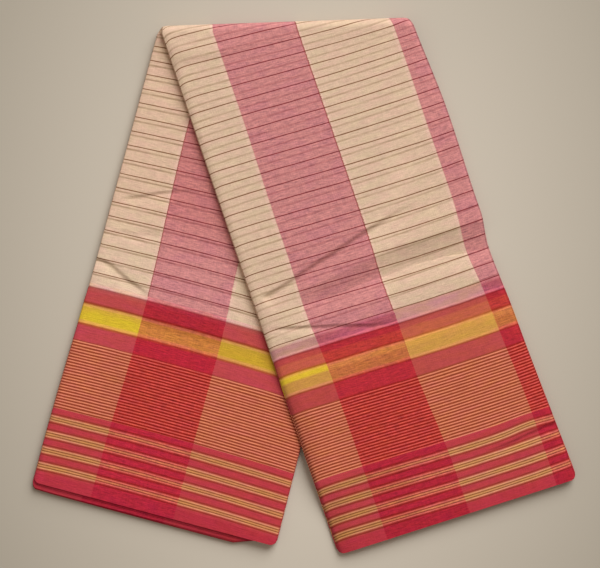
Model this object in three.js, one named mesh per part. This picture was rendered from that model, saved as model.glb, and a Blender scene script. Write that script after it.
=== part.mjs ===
// Cotton saree, pleated lengthwise into a strip and folded over once, lying flat.
// Millimetres, +Z up, +Y towards the crease, origin on the floor under the middle of the bundle.
// The strip's inner face shows on the under leg and its outer face on the over leg.

import * as THREE from 'three';

// ---- Cloth -------------------------------------------------------------------------------------

const LAYERS = 20; // 5.6 m of cloth, in pleats as deep as the strip is wide
const LAYER_RISE = 0.42; // height that each hidden layer adds
const WALL = 1.0; // thickness of a layer that shows
const GAP = 0.3; // clearance between neighbouring pieces
const PLEAT_FOLDS = 9; // folds that each long side shows, two layers to a fold
const FOLD_SWELL = 0.7; // how far a pleat's fold stands out of the side
const GROOVE_DEPTH = 0.4; // how far the groove between two folds goes in
const RIM_SWELL = 0.4; // how far a showing layer's edge is rounded out

const STACK_HEIGHT = (LAYERS - 1) * LAYER_RISE;
const LEG_HEIGHT = STACK_HEIGHT + GAP + WALL;
const TURN_RADIUS = LEG_HEIGHT + GAP / 2;
const TURN_STEPS = 10;
const TURN_CORNER_EASE = 3; // how much narrower the turn is at its outermost line, on each side
const SET_BACK = GAP + 2 * RIM_SWELL; // how far the legs' hidden ends stay behind the turn

// ---- Plan --------------------------------------------------------------------------------------

const CREASE_LEFT = new THREE.Vector2(-161.4, 289.6);
const CREASE_RIGHT = new THREE.Vector2(118.6, 299.2);

// How far an edge bows out of the straight line from the crease to its hem corner:
// "along" is a share of that line, "out" is in mm.
const STRAIGHT = [
  { along: 0.0, out: 0.0 },
  { along: 1.0, out: 0.0 },
];
const UNDER_LEFT_BOW = [
  { along: 0.0, out: 0.0 },
  { along: 0.3, out: -1.6 },
  { along: 0.56, out: -4.1 },
  { along: 0.6, out: 0.0 },
  { along: 0.9, out: 1.3 },
  { along: 1.0, out: 0.5 },
];
const OVER_RIGHT_BOW = [
  { along: 0.0, out: 0.0 },
  { along: 0.19, out: 4.8 },
  { along: 0.42, out: 1.2 },
  { along: 0.5, out: -4.5 },
  { along: 0.66, out: -2.4 },
  { along: 1.0, out: 0.0 },
];

// A leg's hem corners, its edges' bows, and the cells that its surface is divided into.
const UNDER_LEG = {
  hemLeft: new THREE.Vector2(-302.8, -219.7),
  hemRight: new THREE.Vector2(-32.0, -291.6),
  leftBow: UNDER_LEFT_BOW,
  rightBow: STRAIGHT,
  across: 12,
  along: 30,
};
const OVER_LEG = {
  hemLeft: new THREE.Vector2(38.9, -301.4),
  hemRight: new THREE.Vector2(305.2, -216.0),
  leftBow: STRAIGHT,
  rightBow: OVER_RIGHT_BOW,
  across: 14,
  along: 30,
};
const UNDER_LAYERS = { ...UNDER_LEG, across: 10, along: 18 };
const HEM_CORNER_EASE = 3; // how far the hem corners are rounded off

// How far each hidden layer's hem reaches past the showing one's, from the lowest layer up.
const UNDER_HEM_REACH = [8.4, 8.0, 7.0, 7.4, 6.2, 4.0, 3.2, 1.8, 0.8, 0.0];
const OVER_HEM_REACH = [-1.4, -0.6, -1.2, -0.2, -1.0, -0.4, -1.3, -0.1, -0.8, -0.2];
const HEM_REACH_END = 0.92; // share across a leg at which its lower layers stop reaching out

// Over this stretch a leg sags by a soft valley right through its layers.
const OVER_VALLEY = {
  rise: -2.4,
  halfWidth: 34,
  points: [[-4, -8], [46, 6], [88, 19], [141, 32], [206, 51]],
};

// The over leg comes down off the under leg's right side over this stretch, measured from that side.
const DROP_START = 13;
const DROP_END = 54;

// Soft ridges in the layers that show, each along a few plan points.
const UNDER_CREASES = [
  { rise: 2.0, halfWidth: 15, points: [[-201, 93], [-178, 102], [-148, 104]] },
  { rise: 1.6, halfWidth: 14, points: [[-218, 25], [-197, 6], [-176, -8]] },
];
const OVER_CREASES = [
  { rise: 2.2, halfWidth: 16, points: [[-43, -11], [-1, 15], [46, 44], [83, 70], [109, 79]] },
  { rise: 1.4, halfWidth: 14, points: [[201, -187], [214, -181], [262, -162]] },
];

// ---- Plan of a leg -----------------------------------------------------------------------------

const creaseRun = CREASE_RIGHT.clone().sub(CREASE_LEFT).normalize();
const towardHem = new THREE.Vector2(creaseRun.y, -creaseRun.x);

/** A bow table's value at a share along the edge. */
function bowAt(bow, along) {
  const after = Math.max(1, bow.findIndex((row) => row.along >= along));
  const [low, high] = [bow[after - 1], bow[after]];
  return THREE.MathUtils.mapLinear(along, low.along, high.along, low.out, high.out);
}

/** Point on an edge, where along runs from 0 at the turn's foot to 1 at the hem. */
function edgePoint(creaseCorner, hemCorner, bow, outSign, along) {
  const run = hemCorner.clone().sub(creaseCorner);
  const outward = new THREE.Vector2(-run.y, run.x).normalize().multiplyScalar(outSign);
  const share = THREE.MathUtils.lerp(TURN_RADIUS / run.dot(towardHem), 1, along);
  return creaseCorner.clone().addScaledVector(run, share).addScaledVector(outward, bowAt(bow, share));
}

/** Plan point of a leg, where across runs from 0 at its left edge to 1 at its right. */
function planPoint(leg, across, along) {
  const left = edgePoint(CREASE_LEFT, leg.hemLeft, leg.leftBow, -1, along);
  const right = edgePoint(CREASE_RIGHT, leg.hemRight, leg.rightBow, 1, along);
  return left.lerp(right, across);
}

/** Rows of a leg's plan points from the turn to the hem, each from left to right. */
function planRows(leg, setBack) {
  const rows = [];
  for (let i = 0; i <= leg.along; i += 1) {
    const row = [];
    for (let j = 0; j <= leg.across; j += 1) {
      row.push(planPoint(leg, j / leg.across, i / leg.along));
    }
    rows.push(row);
  }
  for (const point of rows[0]) {
    point.addScaledVector(towardHem, setBack);
  }
  const hem = rows.at(-1);
  const aboveHem = rows.at(-2);
  for (const [corner, beside] of [[0, 1], [leg.across, leg.across - 1]]) {
    const inward = hem[beside].clone().add(aboveHem[corner]).addScaledVector(hem[corner], -2);
    hem[corner].addScaledVector(inward.normalize(), HEM_CORNER_EASE);
  }
  return rows;
}

// ---- Heights -----------------------------------------------------------------------------------

/** Distance of a plan point to the right of the under leg's right side. */
function rightOfUnderLeg(point) {
  const run = UNDER_LEG.hemRight.clone().sub(CREASE_RIGHT).normalize();
  const offset = point.clone().sub(CREASE_RIGHT);
  return offset.y * run.x - offset.x * run.y;
}

/** Height that the over leg rests on: the under leg's top, the floor, or the easy slope between. */
function overBase(point) {
  const fallen = THREE.MathUtils.smoothstep(rightOfUnderLeg(point), DROP_START, DROP_END);
  return (LEG_HEIGHT + GAP) * (1 - fallen);
}

/** The under leg rests on the floor. */
function underBase() {
  return 0;
}

/** Distance from a plan point to a line through several points. */
function distanceToLine(point, points) {
  const here = new THREE.Vector3(point.x, point.y, 0);
  const nearest = new THREE.Vector3();
  const distances = points.slice(1).map((end, i) => {
    const piece = new THREE.Line3(new THREE.Vector3(...points[i], 0), new THREE.Vector3(...end, 0));
    return piece.closestPointToPoint(here, true, nearest).distanceTo(here);
  });
  return Math.min(...distances);
}

/** Rise of one crease at a plan point. */
function creaseRise(crease, point) {
  const share = distanceToLine(point, crease.points) / crease.halfWidth;
  return crease.rise * Math.max(0, 1 - share * share) ** 2;
}

/** Height of the over leg's hidden layers. */
function overStack(point) {
  return STACK_HEIGHT + creaseRise(OVER_VALLEY, point);
}

/** The under leg's hidden layers are even. */
function underStack() {
  return STACK_HEIGHT;
}

// ---- Closed shells -----------------------------------------------------------------------------

/** Vertices and triangles of one closed shell. */
class Shell {
  constructor() {
    this.points = [];
    this.triangles = [];
  }

  add(x, y, z) {
    return this.points.push(x, y, z) / 3 - 1;
  }

  /** A quad, corners anticlockwise from outside. */
  quad(a, b, c, d) {
    this.triangles.push(a, b, c, a, c, d);
  }

  /** Joins a loop to the next one above or outside it. */
  band(lower, upper) {
    for (let i = 0; i < lower.length; i += 1) {
      const next = (i + 1) % lower.length;
      this.quad(lower[i], lower[next], upper[next], upper[i]);
    }
  }

  /** Covers a grid of vertices, splitting each cell the same way whichever side it faces. */
  cover(grid, facesUp) {
    for (let i = 1; i < grid.length; i += 1) {
      for (let j = 1; j < grid[i].length; j += 1) {
        const [a, b, c, d] = [grid[i - 1][j - 1], grid[i][j - 1], grid[i][j], grid[i - 1][j]];
        this.triangles.push(...(facesUp ? [a, b, c, a, c, d] : [a, c, b, a, d, c]));
      }
    }
  }

  geometry() {
    const geometry = new THREE.BufferGeometry();
    geometry.setAttribute('position', new THREE.Float32BufferAttribute(this.points, 3));
    geometry.setIndex(this.triangles);
    geometry.computeVertexNormals();
    return geometry;
  }
}

/** A grid's border as one loop: down its left side, along the hem, up the right side and back. */
function rim(grid) {
  const last = grid.length - 1;
  const end = grid[0].length - 1;
  const left = grid.slice(0, last).map((row) => row[0]);
  const hem = grid[last].slice(0, end);
  const right = grid.slice(1).map((row) => row[end]).reverse();
  const top = grid[0].slice(1).reverse();
  return [...left, ...hem, ...right, ...top];
}

/** What each place of a grid's rim belongs to, in the rim's order. */
function rimParts(grid) {
  return rim(grid.map((row, i) => row.map((_, j) => {
    if (i === grid.length - 1) return 'hem';
    if (i === 0) return 'turn';
    return j === 0 || j === row.length - 1 ? 'side' : 'inside';
  })));
}

/** Outward directions in plan along an anticlockwise loop of plan points. */
function outwardDirections(loop) {
  return loop.map((_, i) => {
    const before = loop.at(i - 1);
    const after = loop[(i + 1) % loop.length];
    return new THREE.Vector2(after.y - before.y, before.x - after.x).normalize();
  });
}

/** Closes a block's top or bottom: the loop is its border, and its inner vertices are added. */
function capBlock(shell, rows, loop, heightAt, facesUp) {
  const grid = rows.map((row) => row.map(() => null));
  const places = rim(rows.map((row, i) => row.map((_, j) => [i, j])));
  places.forEach(([i, j], k) => {
    grid[i][j] = loop[k];
  });
  rows.forEach((row, i) => row.forEach((point, j) => {
    grid[i][j] ??= shell.add(point.x, point.y, heightAt(point));
  }));
  shell.cover(grid, facesUp);
}

/**
 * A leg's hidden layers as one block. Its long sides show the pleats' folds as rounded ribs, and
 * its hem shows the layers' ends as steps.
 */
function layeredBlock(leg, baseAt, heightAt, hemReach) {
  const shell = new Shell();
  const rows = planRows(leg, SET_BACK);
  const border = rim(rows);
  const parts = rimParts(rows);
  const acrossShares = rim(rows.map((row) => row.map((_, j) => j / (row.length - 1))));
  const hemRun = leg.hemRight.clone().sub(leg.hemLeft).normalize();
  const pastHem = new THREE.Vector2(hemRun.y, -hemRun.x);
  const outward = outwardDirections(border).map((out, i) => (parts[i] === 'hem' ? pastHem : out));
  const levels = 2 * PLEAT_FOLDS;
  const loops = [];
  for (let level = 0; level <= levels; level += 1) {
    const swell = level % 2 === 1 ? FOLD_SWELL : -GROOVE_DEPTH;
    const hem = hemReach[Math.round((level / levels) * (hemReach.length - 1))];
    loops.push(border.map((point, i) => {
      const hemHere = acrossShares[i] < HEM_REACH_END ? hem : Math.min(hem, 0);
      const reach = { side: swell, hem: swell / 2 + hemHere, turn: 0 }[parts[i]];
      const { x, y } = point.clone().addScaledVector(outward[i], reach);
      return shell.add(x, y, baseAt(point) + (heightAt(point) * level) / levels);
    }));
  }
  capBlock(shell, rows, loops[0], baseAt, false);
  for (let i = 1; i < loops.length; i += 1) {
    shell.band(loops[i - 1], loops[i]);
  }
  capBlock(shell, rows, loops.at(-1), (point) => baseAt(point) + heightAt(point), true);
  return shell.geometry();
}

/** A wall of cloth round a grid of { middle, normal }, with its edges rounded. */
function clothWall(grid) {
  const shell = new Shell();
  const face = (side) => grid.map((row) => row.map(({ middle, normal }) => {
    const { x, y, z } = middle.clone().addScaledVector(normal, (side * WALL) / 2);
    return shell.add(x, y, z);
  }));
  const inner = face(-1);
  const outer = face(1);
  const edge = rim(grid.map((row, i) => row.map((place, j) => {
    const innerRow = grid[THREE.MathUtils.clamp(i, 1, grid.length - 2)];
    const inside = innerRow[THREE.MathUtils.clamp(j, 1, row.length - 2)];
    const outward = place.middle.clone().sub(inside.middle).normalize();
    return place.middle.clone().addScaledVector(outward, RIM_SWELL);
  }))).map(({ x, y, z }) => shell.add(x, y, z));
  shell.cover(inner, false);
  shell.band(rim(inner), edge);
  shell.band(edge, rim(outer));
  shell.cover(outer, true);
  return shell.geometry();
}

// ---- The turn ----------------------------------------------------------------------------------

/**
 * Point of the turn at a distance from its axis. The angle runs from 0 on top of the over leg to
 * pi under the under leg, and the sides follow the legs' edges from one to the other.
 */
function turnPoint(across, angle, radius) {
  const plan = planPoint(OVER_LEG, across, 0).lerp(planPoint(UNDER_LEG, across, 0), angle / Math.PI);
  const ease = TURN_CORNER_EASE * Math.sin(angle) * (1 - 2 * across);
  plan.addScaledVector(creaseRun, ease).addScaledVector(towardHem, -radius * Math.sin(angle));
  return new THREE.Vector3(plan.x, plan.y, TURN_RADIUS + radius * Math.cos(angle));
}

/** Direction straight out of the turn at an angle. */
function turnNormal(angle) {
  const sine = Math.sin(angle);
  return new THREE.Vector3(-towardHem.x * sine, -towardHem.y * sine, Math.cos(angle));
}

/** The hidden layers where they turn over: half a roll whose ends show the folds round its axis. */
function turnBundle() {
  const shell = new Shell();
  const radius = TURN_RADIUS - WALL - GAP;
  const rings = 2 * PLEAT_FOLDS;
  /** Vertices of one end from the axis outwards, each ring from the top round to the bottom. */
  const endRings = (across) => {
    const outSign = across * 2 - 1;
    const grid = [];
    for (let ring = 1; ring <= rings; ring += 1) {
      const swell = outSign * (ring % 2 === 1 ? FOLD_SWELL : -GROOVE_DEPTH);
      const row = [];
      for (let step = 0; step <= TURN_STEPS; step += 1) {
        const point = turnPoint(across, (Math.PI * step) / TURN_STEPS, (radius * ring) / rings);
        row.push(shell.add(point.x + swell * creaseRun.x, point.y + swell * creaseRun.y, point.z));
      }
      grid.push(row);
    }
    const axis = turnPoint(across, 0, 0);
    return { axis: shell.add(axis.x, axis.y, TURN_RADIUS), grid };
  };
  const left = endRings(0);
  const right = endRings(1);
  for (const [end, facesUp] of [[left, true], [right, false]]) {
    shell.cover(end.grid, facesUp);
    for (let step = 1; step <= TURN_STEPS; step += 1) {
      const [a, b] = [end.grid[0][step - 1], end.grid[0][step]];
      shell.triangles.push(end.axis, ...(facesUp ? [a, b] : [b, a]));
    }
  }
  shell.cover([left.grid.at(-1), right.grid.at(-1)], true);
  /** The flat back, from the top of the roll through its axis to the bottom. */
  const backLine = ({ axis, grid }) => [
    ...grid.map((row) => row[0]).reverse(),
    axis,
    ...grid.map((row) => row.at(-1)),
  ];
  shell.cover([backLine(left), backLine(right)], false);
  return shell.geometry();
}

// ---- Layers that show --------------------------------------------------------------------------

const UP = new THREE.Vector3(0, 0, 1);

/** Grid of a showing layer over a leg's hidden ones. */
function showingRows(leg, baseAt, heightAt, creases, setBack) {
  return planRows(leg, setBack).map((row) => row.map((point) => {
    const rise = creases.reduce((sum, crease) => sum + creaseRise(crease, point), 0);
    const height = baseAt(point) + heightAt(point) + GAP + WALL / 2 + rise;
    return { middle: new THREE.Vector3(point.x, point.y, height), normal: UP };
  }));
}

/** The inner face of the strip, on the under leg. */
function underPanel() {
  return clothWall(showingRows(UNDER_LEG, underBase, underStack, UNDER_CREASES, SET_BACK));
}

/** The outer face of the strip: from under the bundle round the turn and down the over leg. */
function overPanel() {
  const turnRows = [];
  for (let step = TURN_STEPS; step > 0; step -= 1) {
    const angle = (Math.PI * step) / TURN_STEPS;
    const row = [];
    for (let j = 0; j <= OVER_LEG.across; j += 1) {
      const middle = turnPoint(j / OVER_LEG.across, angle, TURN_RADIUS - WALL / 2);
      row.push({ middle, normal: turnNormal(angle) });
    }
    turnRows.push(row);
  }
  return clothWall([...turnRows, ...showingRows(OVER_LEG, overBase, overStack, OVER_CREASES, 0)]);
}

// ---- Assembly ----------------------------------------------------------------------------------

const SHOWING_CLOTH = { color: 0xd0a08e, roughness: 0.85, metalness: 0 };
const HIDDEN_CLOTH = { color: 0xb05a58, roughness: 0.9, metalness: 0 };

const saree = new THREE.Group();

/** Adds a named piece in its own finish. */
function addPiece(name, shape, finish) {
  const mesh = new THREE.Mesh(shape, new THREE.MeshStandardMaterial(finish));
  mesh.name = name;
  saree.add(mesh);
}

const underLayers = layeredBlock(UNDER_LAYERS, underBase, underStack, UNDER_HEM_REACH);
const overLayers = layeredBlock(OVER_LEG, overBase, overStack, OVER_HEM_REACH);

addPiece('under_leg_layers', underLayers, HIDDEN_CLOTH);
addPiece('under_leg_panel', underPanel(), SHOWING_CLOTH);
addPiece('turn_layers', turnBundle(), HIDDEN_CLOTH);
addPiece('over_leg_layers', overLayers, HIDDEN_CLOTH);
addPiece('over_leg_panel', overPanel(), SHOWING_CLOTH);

export default saree;
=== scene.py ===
"""Cotton saree, pleated lengthwise into a strip and folded over once, lying flat.

Metres, +Z up, +Y towards the crease, origin on the floor under the middle of the bundle.
"""

import math

import bpy
import numpy as np
from bpy.props import FloatProperty, FloatVectorProperty, IntProperty, PointerProperty
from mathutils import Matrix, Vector, noise


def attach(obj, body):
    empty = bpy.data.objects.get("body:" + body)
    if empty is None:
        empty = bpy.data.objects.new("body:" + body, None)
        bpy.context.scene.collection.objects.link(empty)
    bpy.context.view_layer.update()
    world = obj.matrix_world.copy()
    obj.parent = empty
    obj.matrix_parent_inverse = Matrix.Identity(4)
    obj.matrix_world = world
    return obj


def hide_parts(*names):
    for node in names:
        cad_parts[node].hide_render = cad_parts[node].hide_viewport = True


bl_info = {
    "name": "Folded cotton saree",
    "version": (1, 0, 0),
    "blender": (4, 5, 0),
    "location": "View3D > Sidebar > Saree",
    "description": "Builds a folded handloom saree and the surface it lies on",
    "category": "Add Mesh",
}

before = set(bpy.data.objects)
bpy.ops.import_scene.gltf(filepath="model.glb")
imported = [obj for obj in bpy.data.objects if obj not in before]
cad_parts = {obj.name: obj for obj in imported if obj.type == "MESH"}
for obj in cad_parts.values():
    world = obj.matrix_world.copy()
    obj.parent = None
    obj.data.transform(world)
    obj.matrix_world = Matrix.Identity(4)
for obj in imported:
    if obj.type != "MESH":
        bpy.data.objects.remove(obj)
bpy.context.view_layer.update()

MM = 0.001

# ---- Sizes shared with the frame's solids ------------------------------------------------------

LAYERS = 20  # layers of cloth in each leg, one of them showing
LAYER_RISE = 0.42 * MM  # height that each hidden layer adds to the solids
WALL = 1.0 * MM  # the solids' thickness for a layer that shows
GAP = 0.3 * MM  # clearance between the solids
STACK_HEIGHT = (LAYERS - 1) * LAYER_RISE
LEG_HEIGHT = STACK_HEIGHT + GAP + WALL
TURN_RADIUS = LEG_HEIGHT + GAP / 2
TURN_CORNER_EASE = 3 * MM
RIM_SWELL = 0.4 * MM
CREASE_LEFT = np.array([-161.4, 289.6]) * MM
CREASE_RIGHT = np.array([118.6, 299.2]) * MM

STRAIGHT = {"along": (0.0, 1.0), "out_mm": (0.0, 0.0)}
# A leg's hem corners, how far its long sides bow out at shares of their run, and how far each
# hidden layer's hem reaches past the showing one's, from the lowest layer up, in mm.
UNDER_LEG = {
    "hem_left": np.array([-302.8, -219.7]) * MM,
    "hem_right": np.array([-32.0, -291.6]) * MM,
    "left_bow": {
        "along": (0.0, 0.3, 0.56, 0.6, 0.9, 1.0),
        "out_mm": (0.0, -1.0, -1.6, -0.8, 1.0, 0.5),
    },
    "right_bow": STRAIGHT,
    "hem_reach_mm": (7.6, 8.2, 7.9, 8.3, 7.6, 7.9, 6.8, 6.2, 2.6, 0.4),
}
OVER_LEG = {
    "hem_left": np.array([38.9, -301.4]) * MM,
    "hem_right": np.array([305.2, -216.0]) * MM,
    "left_bow": STRAIGHT,
    "right_bow": {
        "along": (0.0, 0.19, 0.42, 0.5, 0.66, 1.0),
        "out_mm": (0.0, 3.8, 0.4, -5.0, -3.0, -0.3),
    },
    "hem_reach_mm": (-1.4, -0.6, -1.2, -0.2, -1.0, -0.4, -1.3, -0.1, -0.8, -0.2),
}

# Beside the under leg, the over leg comes down to the floor between these two distances.
DROP_START = 13 * MM
DROP_END = 54 * MM

crease_run = (CREASE_RIGHT - CREASE_LEFT) / np.linalg.norm(CREASE_RIGHT - CREASE_LEFT)
toward_hem = np.array([crease_run[1], -crease_run[0]])

# ---- Sizes of the soft cloth -------------------------------------------------------------------

LEG_WIDTH = 277 * MM
LEG_LENGTH = 585 * MM
SIDE_DROOP = 1.0 * MM  # how much lower the pile lies at its long sides
SIDE_REACH = 6 * MM
UPPER_SLUMP = 0.8 * MM  # how much lower still the over leg's left side lies, near the turn
UPPER_SLUMP_REACH = 9 * MM
LOWER_SLUMP = 4.4 * MM  # the same near the hem
LOWER_SLUMP_REACH = 26 * MM
HEM_ROUND = 7 * MM  # radius of a hem's corners
HEM_PAST = 1.6 * MM  # how far the hems stand past the solids' ones
UNDER_SHIFT = 1.5 * MM  # how far the under leg's cloth is drawn away from the turn
FLAP = 12 * MM  # how far the over leg's cloth reaches back under the bundle
FOOT_BLEND = 25 * MM  # over this stretch the hidden layers open out into the turn
FIRST_PLY = 0.2 * MM  # height of the lowest hidden layer's middle
PLY_END = 2.5 * MM  # how far the pile's first and last hidden layers stop short of its side
OUTER_TURN = 8.6 * MM  # radius of the outermost hidden layer in the turn
INNER_TURN = 1.0 * MM

LEG_ROWS = 376
LEG_COLUMNS = 104
TURN_ROWS = 30
FLAP_ROWS = 5
ROLL_STEPS = 5
ROLL_ANGLE = math.radians(125)
PLY_COLUMNS = 13
CORNER_COLUMNS = (0.004, 0.014)  # shares across, from each side
CLOSER = 9  # how much closer a layer's columns are where it comes down to the floor
FOLD_STEPS = 3
FOLD_OUT_MM = 0.25  # how far the pleats' folds stand out: evenly, from fold to fold, along each
FOLD_UNEVEN_MM = 0.35
FOLD_WAVER_MM = 0.3
HEM_UNEVEN_MM = 0.35
UNDER_ROWS = 42
OVER_ROWS = 46
ROLL_ROWS = 14
SMOOTH_ANGLE = math.radians(50)
# Unevenness of cloth that has lain folded: height and wavelength in mm, and added seed.
UNEVENNESS = ((0.5, 80, 0), (0.2, 30, 5), (0.06, 9, 7))
UNDER_SEED = 9.0
OVER_SEED = 3.0
HEM_REACH_START = 0.87  # between these shares across, the hidden layers' hems draw back
HEM_REACH_END = 0.92
UP = np.array([0.0, 0.0, 1.0])

# ---- Creases -----------------------------------------------------------------------------------
# Each runs along plan points in mm, with the crook to its left. The cloth falls from a lip on the
# left, steeper at the lip for a higher lip number, and rises again over its width on the right,
# from a bottom that is rounded over "round" mm, or BOTTOM_ROUND. The deepest line lies "ahead" of
# the points, to the right. Widths change evenly along the run. A crease fades in and out over two
# shares of its run. Depths and widths are in mm, and a depth below 0 makes a ridge.

BOTTOM_ROUND = 0.4

OVER_CREASES = (
    {
        "depth": 4.3, "lip": 2.0, "left": (4.2, 5.0), "right": (28, 36), "ahead": 3.1,
        "fade": (0.05, 0.35),
        "points": (
            (-49, -16), (-35, -8), (-16, 4), (7, 20), (31, 35), (55, 51), (71, 61), (90, 73),
            (108, 84), (134, 95),
        ),
    },
    {
        "depth": -1.8, "lip": 1.4, "left": (36, 36), "right": (24, 24), "ahead": 0.0,
        "fade": (0.35, 0.0),
        "points": (
            (40, 8), (60, 24), (78, 36), (96, 42), (119, 48), (141, 54), (163, 62), (180, 68),
            (204, 76),
        ),
    },
    {
        "depth": 6.1, "lip": 1.3, "left": (17, 31), "right": (27, 27), "ahead": 0.0,
        "fade": (0.25, 0.0), "round": 2.5,
        "points": (
            (-31, -35), (-8, -27), (7, -22), (29, -15), (51, -6), (74, 3), (96, 10), (119, 20),
            (141, 26), (163, 32), (180, 35), (210, 42),
        ),
    },
    {
        "depth": 2.2, "lip": 1.8, "left": (3.4, 4.6), "right": (9, 9), "ahead": 1.9,
        "fade": (0.2, 0.35),
        "points": ((-47, -50), (-5, -48), (40, -46), (76, -46), (105, -41), (121, -34)),
    },
    {
        "depth": 2.3, "lip": 2.0, "left": (3, 3.4), "right": (16, 16), "ahead": 2.6,
        "fade": (0.4, 0.1),
        "points": ((195, -191), (231, -176), (253, -166), (270, -158), (287, -152)),
    },
    {
        "depth": -1.4, "lip": 1.8, "left": (26, 26), "right": (9, 9), "ahead": 0.0,
        "fade": (0.1, 0.3),
        "points": ((-150, 251), (-115, 256), (-88, 261), (-27, 280), (18, 293)),
    },
    {
        "depth": 1.7, "lip": 1.4, "left": (26, 26), "right": (22, 22), "ahead": 0.0,
        "fade": (0.5, 0.5),
        "points": ((91, 119), (119, 136), (148, 162)),
    },
)
UNDER_CREASES = (
    {
        "depth": 2.0, "lip": 1.8, "left": (3.8, 3.6), "right": (16, 16), "ahead": 2.8,
        "fade": (0.2, 0.5),
        "points": ((-206, 95), (-195, 98), (-180, 100), (-166, 103), (-146, 105), (-117, 106)),
    },
    {
        "depth": 2.2, "lip": 1.8, "left": (3.3, 3.3), "right": (18, 18), "ahead": 2.2,
        "fade": (0.12, 0.3),
        "points": (
            (-238, 31), (-224, 27), (-214, 21), (-200, 8), (-189, 0), (-176, -10), (-170, -14),
        ),
    },
    {
        "depth": 1.2, "lip": 1.4, "left": (8, 8), "right": (9, 9), "ahead": 3.0,
        "fade": (0.4, 0.4),
        "points": ((-192, 60), (-172, 57), (-152, 55)),
    },
    {
        "depth": 1.1, "lip": 1.6, "left": (7, 7), "right": (9, 9), "ahead": 2.0,
        "fade": (0.3, 0.3),
        "points": ((-213, 59), (-198, 57), (-176, 48)),
    },
)

# The top hidden layer sags with the deepest crease within these steps to every side.
SAG_STEPS = np.array([(x, y) for x in range(-12, 13, 6) for y in range(-12, 13, 6)]) * MM
MOST_SAG = 0.85 * STACK_HEIGHT

# ---- Weave -------------------------------------------------------------------------------------

STRIPE_REPEAT = 196 * MM  # a pink and a cream stripe of the warp
PINK_START = 56 * MM
PINK_WIDTH = 95 * MM
BORDER_DEPTH = 242.5 * MM  # from the selvedge to the first rust line of the body

# How the weave lies on each leg, in mm to the right and down from an origin, turned by an angle.
# Each stripe edge has its place to the right, how far the cloth's pinched part draws it, and its
# drifts: how far it moves, and where down the leg that starts and ends. The weft sways and slants,
# and the layer beneath has slid and turned a little.
OVER_WEAVE = {
    "origin": (-183.8, 273.95),
    "degrees": 19.0,
    "selvedge": 618.0,
    "edges": (
        {"right": 79.6, "pinch": -1.8, "drifts": ((-2.3, 110, 250), (2.3, 360, 440))},
        {"right": 170.4, "pinch": -1.6, "drifts": ((6.4, 430, 570),)},
        {"right": 272.8, "pinch": -4.4, "drifts": ((5.8, 390, 545),)},
    ),
    "pinch": {"down": 342, "reach": 36},
    "sway": {"height": 3.6, "start": 126.6, "half_wave": 257.6, "level": 0.9},
    "slant": {"least": 0.008, "near_turn": 0.044, "until": (39, 123), "middle": 106.4},
    "body_ends": (330, 375),
    "bulge": {"height": 2.0, "down": 293, "reach": 45},
    "tuck": {"depth": 2.4, "right": 273, "reach": 26, "down": 549, "down_reach": 13},
    "side": {"right": 24.5, "reach": 4.5, "least": 1.6, "near_turn": 5.5, "until": (20, 110)},
    "beneath": {"slide": 6.3, "turn": 0.0075, "spread": 0.000085},
}
UNDER_WEAVE = {
    "origin": (-178.2, 307.55),
    "degrees": -15.2,
    "selvedge": 538.7,
    "edges": (
        {"right": 80.1, "pinch": 0.0, "drifts": ((6.7, 112, 325), (-3.0, 360, 490))},
        {"right": 174.8, "pinch": 0.0, "drifts": ((5.0, 224, 347),)},
        {"right": 300.0, "pinch": 0.0, "drifts": ()},
    ),
    "sway": {"height": 2.69, "middle": 140, "reach": 145.6},
    "slant": {"rate": -0.00020536, "until": 310, "middle": 117.6},
    "beneath": {"slide": -6.4, "turn": 0.0135, "spread": 0.0},
}

# ---- Stage -------------------------------------------------------------------------------------

FLOOR_SIZE = 40.0
FLOOR_DROP = 0.4 * MM  # how far the floor lies below the frame's zero
# Painted pool of light on the floor: lighter in the middle, darker out to FLOOR_REACH.
FLOOR_SQUASH = (1.0, 0.7, 0.0)  # its pale middle reaches further along y than along x
FLOOR_REACH = 0.40
KEY_PLACE = (3.1, 6.0, 5.3)
KEY_DIAMETER = 7.5
KEY_COLOUR = (0.905, 0.948, 1.0)
FILL_COLOUR = (1.0, 0.90, 0.80, 1.0)
CAMERA_PLACE = (-4.6 * MM, 0.7 * MM)
SENSOR_MM = 36


# ---- Sizes and colours that a user would change ------------------------------------------------


def linear_light(seen):
    """A colour as seen on a screen, from 0 to 255, as linear light."""
    shares = [channel / 255 for channel in seen]
    return [c / 12.92 if c <= 0.04045 else ((c + 0.055) / 1.055) ** 2.4 for c in shares]


def colour(name, description, seen):
    """A colour setting, given as it is seen on a screen."""
    return FloatVectorProperty(
        name=name, description=description, default=linear_light(seen),
        size=3, min=0, max=1, subtype="COLOR",
    )


def length(name, description, metres):
    """A length setting."""
    return FloatProperty(name=name, description=description, default=metres, unit="LENGTH")


class SareeSizes(bpy.types.PropertyGroup):
    """Sizes of the cloth."""

    showing_thickness: length("Showing layer", "Thickness of the layers that show", 0.55 * MM)
    ply_thickness: length("Hidden layer", "Thickness of a hidden layer", 0.32 * MM)
    ply_rise: length("Layer rise", "Height that each hidden layer adds", 0.41 * MM)
    ply_count: IntProperty(
        name="Hidden layers", description="Pleats between the showing layers", default=LAYERS - 1
    )
    edge_roll: length("Edge roll", "Radius that a fold turns over the side with", 0.9 * MM)
    over_line_pitch: length("Over leg line pitch", "From one rust line to the next", 17.1 * MM)
    under_line_pitch: length("Under leg line pitch", "From one rust line to the next", 16.7 * MM)
    line_width: length("Line width", "Width of a rust line", 1.05 * MM)


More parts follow.
